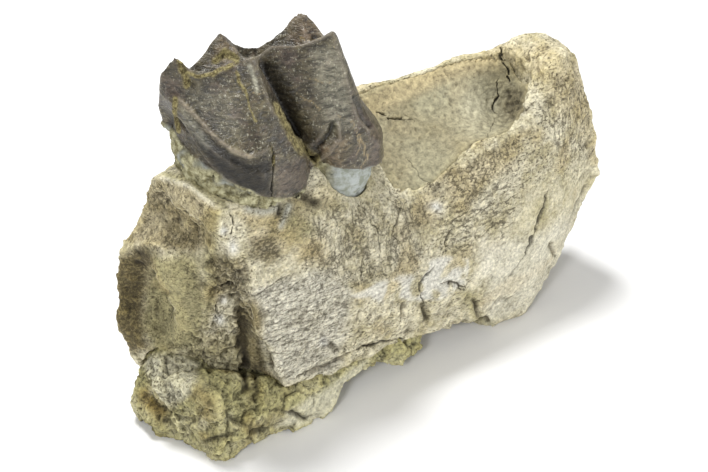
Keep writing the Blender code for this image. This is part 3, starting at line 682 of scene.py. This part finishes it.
baseSilt = dict(
    voxel=0.55, smoothing=8, grow=0.5,
    forms=[  # (marks, radius, height)
        ([(146, 396), (152, 404), (162, 412)], 7.0, -3.6),  # open pocket
        ([(138, 403), (148, 416), (166, 425), (186, 432)], 2.4, 0.9),  # its rim
        ([(148, 378), (172, 384), (196, 388)], 8.0, 1.0),
        ([(198, 396), (206, 404), (214, 410)], 2.4, -1.0),
        ([(250, 432), (262, 428)], 3.4, -2.0),
        ([(206, 441), (216, 437), (232, 434)], 1.6, -1.0),
        ([(292, 412), (304, 418), (312, 416)], 2.2, -1.4),
        ([(244, 376), (246, 386), (238, 396)], 3.4, -1.6),
        ([(178, 416), (196, 420)], 2.0, -0.9),
    ],
    swells=[(7, 51, 0.3, 0.0), (3.2, 52, 0.2, 0.0), (1.5, 53, 0.18, 0.0)],  # as for the jaw bone
    facets=[(4.2, 69, 0.65, 0.0), (2.0, 70, 0.35, 0.0)],
    pits=[(2.0, 70, 0.4, 0.0, 0.24, 0.16), (5.0, 55, 1.1, 0.0, 0.2, 0.15)],
    faces=dict(  # (softness, outline): a flat pale slab, and crumbled bone that looks like coral
        slab=(5, [(277, 428), (290, 410), (330, 385), (356, 366), (374, 352), (348, 396), (328, 418),
                  (300, 426)]),
        coral=(5, [(140, 356), (180, 352), (198, 364), (196, 384), (184, 400), (170, 408), (152, 394)]),
    ),
    pocket=[(146, 396), (152, 404), (160, 411)], pocketRadius=8.0,
    brownLine=[(198, 392), (208, 402), (206, 414)], brownRadius=11.0,
    pitShade=[  # painted shade in pits: (marks, radius)
        ([(250, 432), (262, 428)], 5.0), ([(244, 376), (246, 388)], 4.0),
        ([(206, 441), (216, 437), (232, 434)], 2.4),
        ([(208, 401), (212, 405)], 2.6), ([(224, 410), (225, 412)], 1.4), ([(292, 412), (304, 418)], 3.0),
        ([(164, 420), (172, 422)], 2.6),
    ],
)
roughSilt = dict(
    cream="#c8c29c", tan="#aca578", grit="#3d3622", patch=9.0, grain=1.3, pore=0.9, crackle=2.6, lines=4.0,
    layers=dict(olive="#aba676", ochre="#a98f4a", brown="#7a6c44", white="#d3cfb8", dark="#3f3924"),
    # painted shade colour for hollows, painted highlight colour for crests
    crack="#262116", hollow="#554d31", crest="#f3edd2",
)


def makeBaseSilt():
    piece = fineMesh("base_silt", "baseSilt", baseSilt)
    skin = readSkin(piece)
    skin = moveSkin(piece, skin, baseSilt["grow"] + relief(skin, baseSilt["forms"]))
    points = skin["points"]
    warped = points + 1.6 * wander(points, 3.4, (62, 63, 64))
    height = brokenRelief(points, warped, baseSilt, 0)
    first, second, rise = clods(warped * (1, 1, 0.7), 11, 54)  # big upright clods with cracks between them
    height += 2.0 * rise - 0.7 * ease(1 - (second - first) / 0.06) * patches(points, 12, 68, 1, 0.6)
    face = regionShares(skin, skin["places"], baseSilt["faces"])
    slab, coral = face["slab"], face["coral"]
    pocket = along(skin, baseSilt["pocket"], baseSilt["pocketRadius"])
    smoother = 0.7 * np.maximum(slab, pocket)
    skin = moveSkin(piece, skin, height * (1 - smoother) - coral * 0.5 * abs(lumps(warped, 2.0, 71)))
    points = skin["points"]
    near = hollowness(skin, 7, 0.4)
    pocket = along(skin, baseSilt["pocket"], baseSilt["pocketRadius"])
    # painted shade in the carved pits
    pits = np.maximum.reduce([along(skin, line, radius) for line, radius in baseSilt["pitShade"]])
    # painted shade in hollows and a painted highlight on crests
    masks = dict(hollow=0.55 * ease(near), crest=ease(-near))
    masks["olive"] = 0.85 * patches(points, 12, 56, 1, 0.6) * (1 - coral)
    # in the open pocket: ochre is the silt's colour, while brown and grime there are painted shade
    masks["ochre"] = np.maximum(0.8 * pocket, 0.3 * patches(points, 8, 57, 2, -0.3))
    masks["brown"] = np.maximum(0.4 * pocket, 0.4 * patches(points, 7, 58, 2, -0.5))
    cover(masks, "brown", 0.75 * along(skin, baseSilt["brownLine"], baseSilt["brownRadius"]))
    masks["white"] = np.maximum.reduce([0.8 * slab, 0.75 * coral, 0.3 * patches(points, 6, 59, 2, -0.6)])
    # painted shade in the pits and hollows
    masks["dark"] = np.maximum(0.8 * pits, 0.35 * ease(near * 2 - 1))
    masks["grimeAndShade"] = np.maximum(0.25 * patches(points, 6, 60, 1, 0.4), 0.5 * pocket) * (1 - slab)
    masks["pores"] = (0.6 + 0.3 * patches(points, 8, 60, 1, 0)) * (1 - 0.7 * slab)
    masks["crackle"] = 0.6 * patches(points, 12, 61, 1, 0.4) * (1 - slab)
    paint(piece, masks)
    dress(piece, "base_silt", mineral("siltstoneRough", roughSilt, 0.92, 0.3))


# Molar

molar = dict(
    swell=0.45, voxel=0.45, smoothing=9, grow=-0.25,
    # height of the enamel's foot along the jaw, on the cheek side and the tongue side
    enamelFootNear=[(-72, 102), (-63.5, 93), (-56, 87), (-46.5, 83), (-38.5, 82.5), (-31, 84.5), (-20, 82),
                    (-14, 80.5), (-4, 80.5)],
    enamelFootFar=[(-66.5, 100), (-46.5, 94), (-29.5, 92), (-15.5, 91), (-6.5, 87), (-3.5, 83)],
    forms=[  # (marks, radius, height)
        ([(179, 99), (197, 117), (214, 136), (231, 149), (248, 157), (262, 153), (271, 146)],
         2.6, 0.8),  # collar
        ([(186, 116), (205, 138), (226, 156), (248, 169), (266, 168)], 6.0, -0.5),
        ([(191, 78), (200, 77), (213, 75), (228, 68), (240, 60), (253, 59)], 2.4, 0.3),  # front crest
        ([(253, 59), (262, 80), (270, 104), (284, 132), (298, 155), (314, 166)], 6.0, 0.7),  # pillar edge
        ([(262, 66), (268, 86), (278, 110), (290, 134), (300, 150)], 3.6, -0.7),  # valley between the lobes
        ([(257, 60), (271, 48), (284, 47), (303, 46), (315, 42), (332, 34)], 2.4, 0.4),  # rear crest
        ([(332, 34), (341, 58), (347, 82), (355, 106)], 5.0, 0.4),
        ([(313, 163), (329, 152), (339, 138), (338, 124)], 2.8, 1.5),
        ([(316, 148), (323, 142), (330, 133), (333, 124)], 3.0, -1.0),
        ([(303, 140), (313, 150)], 4.5, 1.5),  # silt that fills the foot of the valley
        ([(356, 98), (361, 108), (366, 118), (371, 125)], 3.0, -1.6),  # notch
        ([(366, 134), (378, 142), (378, 158)], 5.0, 0.6),
        ([(352, 108), (358, 120), (368, 131)], 2.2, 0.7),
        ([(291, 24), (296, 16), (304, 16)], 5.0, 0.5),  # tip of the rear inner cusp
        ([(180, 62), (184, 74), (190, 86)], 4.0, -0.8),
        ([(214, 60), (226, 54), (236, 60)], 4.5, -0.7),
    ],
    cracks=[
        ([(271, 142), (273, 156), (273, 168), (272, 182), (272, 197)], 1.1, 1.0),
    ],
    tanCracks=[  # (marks, radius)
        ([(297, 92), (306, 100), (318, 108), (326, 110)], 0.45), ([(308, 79), (320, 80), (332, 84)], 0.45),
        ([(353, 126), (359, 135), (364, 146), (366, 160), (361, 171)], 0.9), ([(333, 42), (335, 56)], 0.9),
        ([(358, 132), (360, 146), (356, 160)], 0.6), ([(336, 116), (352, 121), (360, 132)], 0.5),
        ([(240, 90), (251, 94), (264, 92)], 0.5), ([(295, 33), (305, 40), (322, 38)], 0.7),
    ],
    siltSpots=[  # (marks, radius): silt caught in the valleys and under the crown
        ([(180, 60), (183, 72), (188, 84)], 3.4), ([(216, 60), (225, 52), (236, 60)], 3.6),
        ([(186, 73), (198, 76), (214, 74), (232, 65)], 1.7), ([(276, 106), (288, 130), (301, 152)], 3.4),
        ([(175, 98), (176, 114), (179, 132)], 2.0), ([(298, 144), (306, 150), (316, 160)], 4.0),
        ([(236, 72), (241, 84), (246, 96)], 1.5), ([(246, 96), (251, 108), (256, 122)], 0.7),
        ([(273, 148), (274, 166)], 1.2),
    ],
    bulge=0.5,  # of the silt that coats the roots
    blueFrom=-29.5,  # from there on the rear root is clean and blue-grey
    areas=[  # (mask, strength, softness, outline)
        # the dark band under the collar: partly darker enamel, partly painted shade; then painted shade on
        # the rear lobe's side away from the light
        ("deepShade", 1.0, 5, [(186, 118), (214, 142), (250, 163), (272, 160), (271, 196), (250, 194), (222, 176),
                          (200, 150)]),
        ("deepShade", 0.5, 7, [(262, 62), (280, 60), (296, 90), (306, 130), (318, 146), (304, 152), (282, 120)]),
        ("sheen", 0.34, 9, [(312, 52), (338, 44), (352, 98), (354, 126), (328, 130), (318, 92)]),
        ("sheen", 0.3, 4, [(178, 100), (190, 112), (212, 144), (206, 150), (184, 122)]),
        ("sheen", 0.12, 8, [(186, 92), (206, 86), (232, 96), (246, 140), (222, 134), (198, 112)]),
        ("warm", 0.3, 4, [(286, 40), (290, 18), (304, 10), (318, 22), (322, 36), (302, 44)]),
        ("warm", 0.4, 4, [(206, 66), (222, 34), (238, 50), (236, 64)]),
        ("warm", 0.4, 5, [(322, 150), (340, 136), (350, 140), (340, 168), (326, 168)]),
        ("violet", 0.6, 5, [(276, 166), (300, 158), (316, 166), (306, 186), (276, 196)]),
        ("violet", 0.6, 4, [(356, 112), (364, 110), (382, 134), (380, 166), (368, 168), (370, 134)]),
        ("violet", 0.6, 4, [(160, 74), (180, 82), (178, 100), (166, 96)]),
    ],
    strokes=[  # (mask, strength, radius, marks)
        ("sheen", 0.75, 2.2, [(250, 66), (255, 80), (257, 91)]),
        ("sheen", 0.35, 2.4, [(180, 100), (197, 118), (214, 137), (231, 150), (250, 157)]),
        # painted shade in the fold and the notch
        ("deepShade", 0.6, 3.0, [(318, 146), (330, 133), (333, 125)]),
        ("deepShade", 0.8, 2.6, [(356, 98), (361, 108), (366, 118), (371, 125)]),
        ("warm", 0.45, 2.2, [(180, 100), (197, 118), (214, 137), (231, 150), (250, 157)]),
    ],
)
enamelLook = dict(
    # the deep colour is a painted shade colour
    dark="#352f22", light="#5a533f", violet="#54483f", deepShade="#1f1b11", sheen="#a09e8c", warm="#7b6a52",
    silt="#958b5e", siltDark="#4f4526", root="#a9aeab", rootStain="#868a7c", coat="#bdb996",
    coatDark="#77714f",
    # the crest colour is a painted highlight, the hollow colour painted shade
    crackTan="#a8946b", crackDark="#17130e", crest="#8b8171", hollow="#4a4032",
    patch=9.0, wrinkle=1.0, glint=0.55,  # millimetres; real ripples are finer than these
    polished=0.36, matt=0.88, bump=0.2,
)


def fossilEnamel(look):
    # fossil enamel: mineralised dark, polished by wear, so a soft gloss over fine wrinkles
    made, tree, shader, place = newMaterial(
        "fossilEnamelPolished", look["polished"], **{"IOR": 1.62, "Specular IOR Level": 0.32})
    colour = mottled(tree, place, look["patch"], 0.36, 0.66, 4.0, look["dark"], look["light"])
    tinted = specks(tree, place, 6.0, 0.5, 0.75)
    colour = addNode(tree, "ShaderNodeMix", dict(data_type="RGBA"),
                     {0: tinted, 6: colour, 7: toLinear(look["violet"])}, 2)
    glints = specks(tree, place, look["glint"], 0.59, 0.66, 2.0, (1.0, 1.0, 0.6))
    faint = addNode(tree, "ShaderNodeMath", dict(operation="MULTIPLY"), {0: glints, 1: 0.6})
    colour = addNode(tree, "ShaderNodeMix", dict(data_type="RGBA"),
                     {0: faint, 6: colour, 7: toLinear(look["sheen"])}, 2)
    # the deep mask lays painted shade
    for mask in ("deepShade", "sheen", "violet", "warm"):
        colour = stain(tree, colour, mask, look[mask])
    wrinkles = specks(tree, place, look["wrinkle"], 0.36, 0.64, 3.0, (0.42, 0.42, 1.0))  # ripples
    tones = addNode(tree, "ShaderNodeMapRange", {}, {0: wrinkles, 1: 0.0, 2: 1.0, 3: 0.4, 4: 1.62})
    colour = addNode(tree, "ShaderNodeVectorMath", dict(operation="SCALE"), {0: colour, "Scale": tones})
    # painted highlight on crests
    colour = stain(tree, colour, "crest", look["crest"], 0.35)
    layers = dict(
        root=mottled(tree, place, 3.0, 0.42, 0.6, 5.0, look["root"], look["rootStain"]),
        coat=mottled(tree, place, 2.2, 0.42, 0.6, 5.0, look["coat"], look["coatDark"]),
        silt=mottled(tree, place, 0.9, 0.42, 0.6, 3.0, look["silt"], look["siltDark"]),
    )
    for mask, layer in layers.items():
        covered = addNode(tree, "ShaderNodeAttribute", dict(attribute_name=mask), {}, "Fac")
        colour = addNode(tree, "ShaderNodeMix", dict(data_type="RGBA"), {0: covered, 6: colour, 7: layer}, 2)
    colour = stain(tree, colour, "tanCrack", look["crackTan"])
    # painted shade in hollows
    colour = stain(tree, colour, "hollow", look["hollow"], 1.0, "MULTIPLY")
    colour = stain(tree, colour, "crack", look["crackDark"])
    tree.links.new(colour, shader.inputs["Base Color"])
    matt = addNode(tree, "ShaderNodeAttribute", dict(attribute_name="matt"), {}, "Fac")
    roughness = addNode(tree, "ShaderNodeMapRange", {},
                        {0: matt, 1: 0.0, 2: 1.0, 3: look["polished"], 4: look["matt"]})
    tree.links.new(roughness, shader.inputs["Roughness"])
    bumps = addNode(tree, "ShaderNodeBump", {},
                    {"Height": wrinkles, "Strength": 1.0, "Distance": look["bump"] * mm})
    tree.links.new(bumps, shader.inputs["Normal"])
    return made


def rootMasks(points):  # 1 below the foot of the enamel, where a root is clean, and where silt coats it
    footNear = np.interp(points[:, 0], *zip(*molar["enamelFootNear"]))
    footFar = np.interp(points[:, 0], *zip(*molar["enamelFootFar"]))
    foot = footNear + (footFar - footNear) * ease((points[:, 1] + 5) / 12) + 0.7 * lumps(points, 6, 71)
    rooted = ease((foot - points[:, 2]) / 0.8 + 0.5)
    clean = ease((points[:, 0] - molar["blueFrom"]) / 4) * rooted
    bare = np.maximum(clean, 0.8 * rooted * patches(points, 5, 78, 3, -0.5))
    return rooted, clean, bare, rooted - np.minimum(rooted, bare)


def makeMolar():
    piece = fineMesh("molar", "molarTooth", molar)
    skin = readSkin(piece)
    moveSkin(piece, skin, molar["grow"] + relief(skin, molar["forms"]))
    refineNear(piece, [line for line, _, _ in molar["cracks"]], 3.0, 1)
    skin = readSkin(piece)
    points = skin["points"]
    rooted, clean, bare, coated = rootMasks(points)
    silted = np.zeros(len(points))
    places = skin["places"] + 2.0 * wander(points, 3, (72, 73))
    for line, radius in molar["siltSpots"]:
        silted = np.maximum(silted, ease(1.6 - awayFrom(places, line) / radius) * skin["seen"])
    _, _, rise = clods(points + 1.2 * lumps(points, 3, 79)[:, None], 5.0, 80)
    _, _, grit = clods(points, 2.2, 81)
    height = 0.1 * lumps(points, 5, 74) + 0.04 * lumps(points, 1.8, 75)
    height += rooted * (molar["bulge"] * (1 - 1.2 * clean) + 0.3 * lumps(points, 3.5, 76))
    height += rooted * (1.4 - clean) * (0.8 * rise + 0.4 * grit)
    height += silted * (0.25 + 0.5 * lumps(points, 1.8, 77))
    cracks, depth = crackShare(skin, molar["cracks"])
    masks = dict(root=bare, coat=coated, silt=silted, matt=np.maximum(rooted, silted), crack=cracks)
    for line, radius in molar["tanCracks"]:
        one, _ = crackShare(skin, [(line, radius, 1.0)])
        cover(masks, "tanCrack", one * (0.35 + 0.5 * radius))
    skin = moveSkin(piece, skin, height - depth)
    near, wide = hollowness(skin, 10, 0.3), hollowness(skin, 50, 1.0)
    # painted shade in hollows and a painted highlight on crests
    masks.update(hollow=0.45 * ease(near) + 0.35 * ease(wide), crest=ease(-near - 0.1) * (1 - rooted))
    for mask, strength, softness, outline in molar["areas"]:
        cover(masks, mask, strength * within(skin["places"], outline, softness) * skin["seen"])
    for mask, strength, radius, line in molar["strokes"]:
        cover(masks, mask, strength * along(skin, line, radius))
    paint(piece, masks)
    dress(piece, "molar", fossilEnamel(enamelLook))


makeJawBone()
print("jaw bone made")
makeCryptSilt()
print("crypt silt made")
makeBaseSilt()
print("base silt made")
makeMolar()
print("molar made")


# Floor, light and camera

studio = dict(floorColour="#f6f6f6", floorSize=6.0, skyStrength=0.33,
              lights=[  # (name, place, size, watts)
                  ("keyLight", (-50, 250, 950), 300, 9.8),
                  ("cheekLight", (520, -850, 190), 360, 4.3),
                  ("glossLight", (-750, -500, 560), 220, 4.2),
              ])


def makeStudio():
    work = bmesh.new()
    bmesh.ops.create_grid(work, x_segments=1, y_segments=1, size=studio["floorSize"] / 2)
    mesh = bpy.data.meshes.new("floor")
    work.to_mesh(mesh)
    work.free()
    floor = bpy.data.objects.new("floor", mesh)
    bpy.context.scene.collection.objects.link(floor)
    floor.location.z = -0.0002
    paper = bpy.data.materials.new("paperMattWhite")  # plain white backdrop paper
    paper.use_nodes = True
    paperShader = paper.node_tree.nodes["Principled BSDF"]
    paperShader.inputs["Base Color"].default_value = toLinear(studio["floorColour"])
    paperShader.inputs["Roughness"].default_value = 0.9
    mesh.materials.append(paper)
    world = bpy.data.worlds.new("studioSky")
    world.use_nodes = True
    world.node_tree.nodes["Background"].inputs["Strength"].default_value = studio["skyStrength"]
    world.node_tree.nodes["Background"].inputs["Color"].default_value = (1, 1, 1, 1)
    bpy.context.scene.world = world
    for name, place, size, watts in studio["lights"]:
        light = bpy.data.lights.new(name, "AREA")
        light.shape = "DISK"
        light.size = size * mm
        light.energy = watts
        lamp = bpy.data.objects.new(name, light)
        bpy.context.scene.collection.objects.link(lamp)
        lamp.location = Vector(place) * mm
        lamp.rotation_euler = (Vector((0, 0, 0.05)) - lamp.location).to_track_quat("-Z", "Y").to_euler()
    lens = bpy.data.cameras.new("camera")
    lens.lens, lens.sensor_width = view["lens"], view["sensor"]
    camera = bpy.data.objects.new("camera", lens)
    bpy.context.scene.collection.objects.link(camera)
    camera.location = Vector(eye) * mm
    camera.rotation_euler = Vector(-toCamera).to_track_quat("-Z", "Y").to_euler()
    bpy.context.scene.camera = camera
    bpy.context.scene.view_settings.view_transform = "Standard"


makeStudio()
print("studio made")
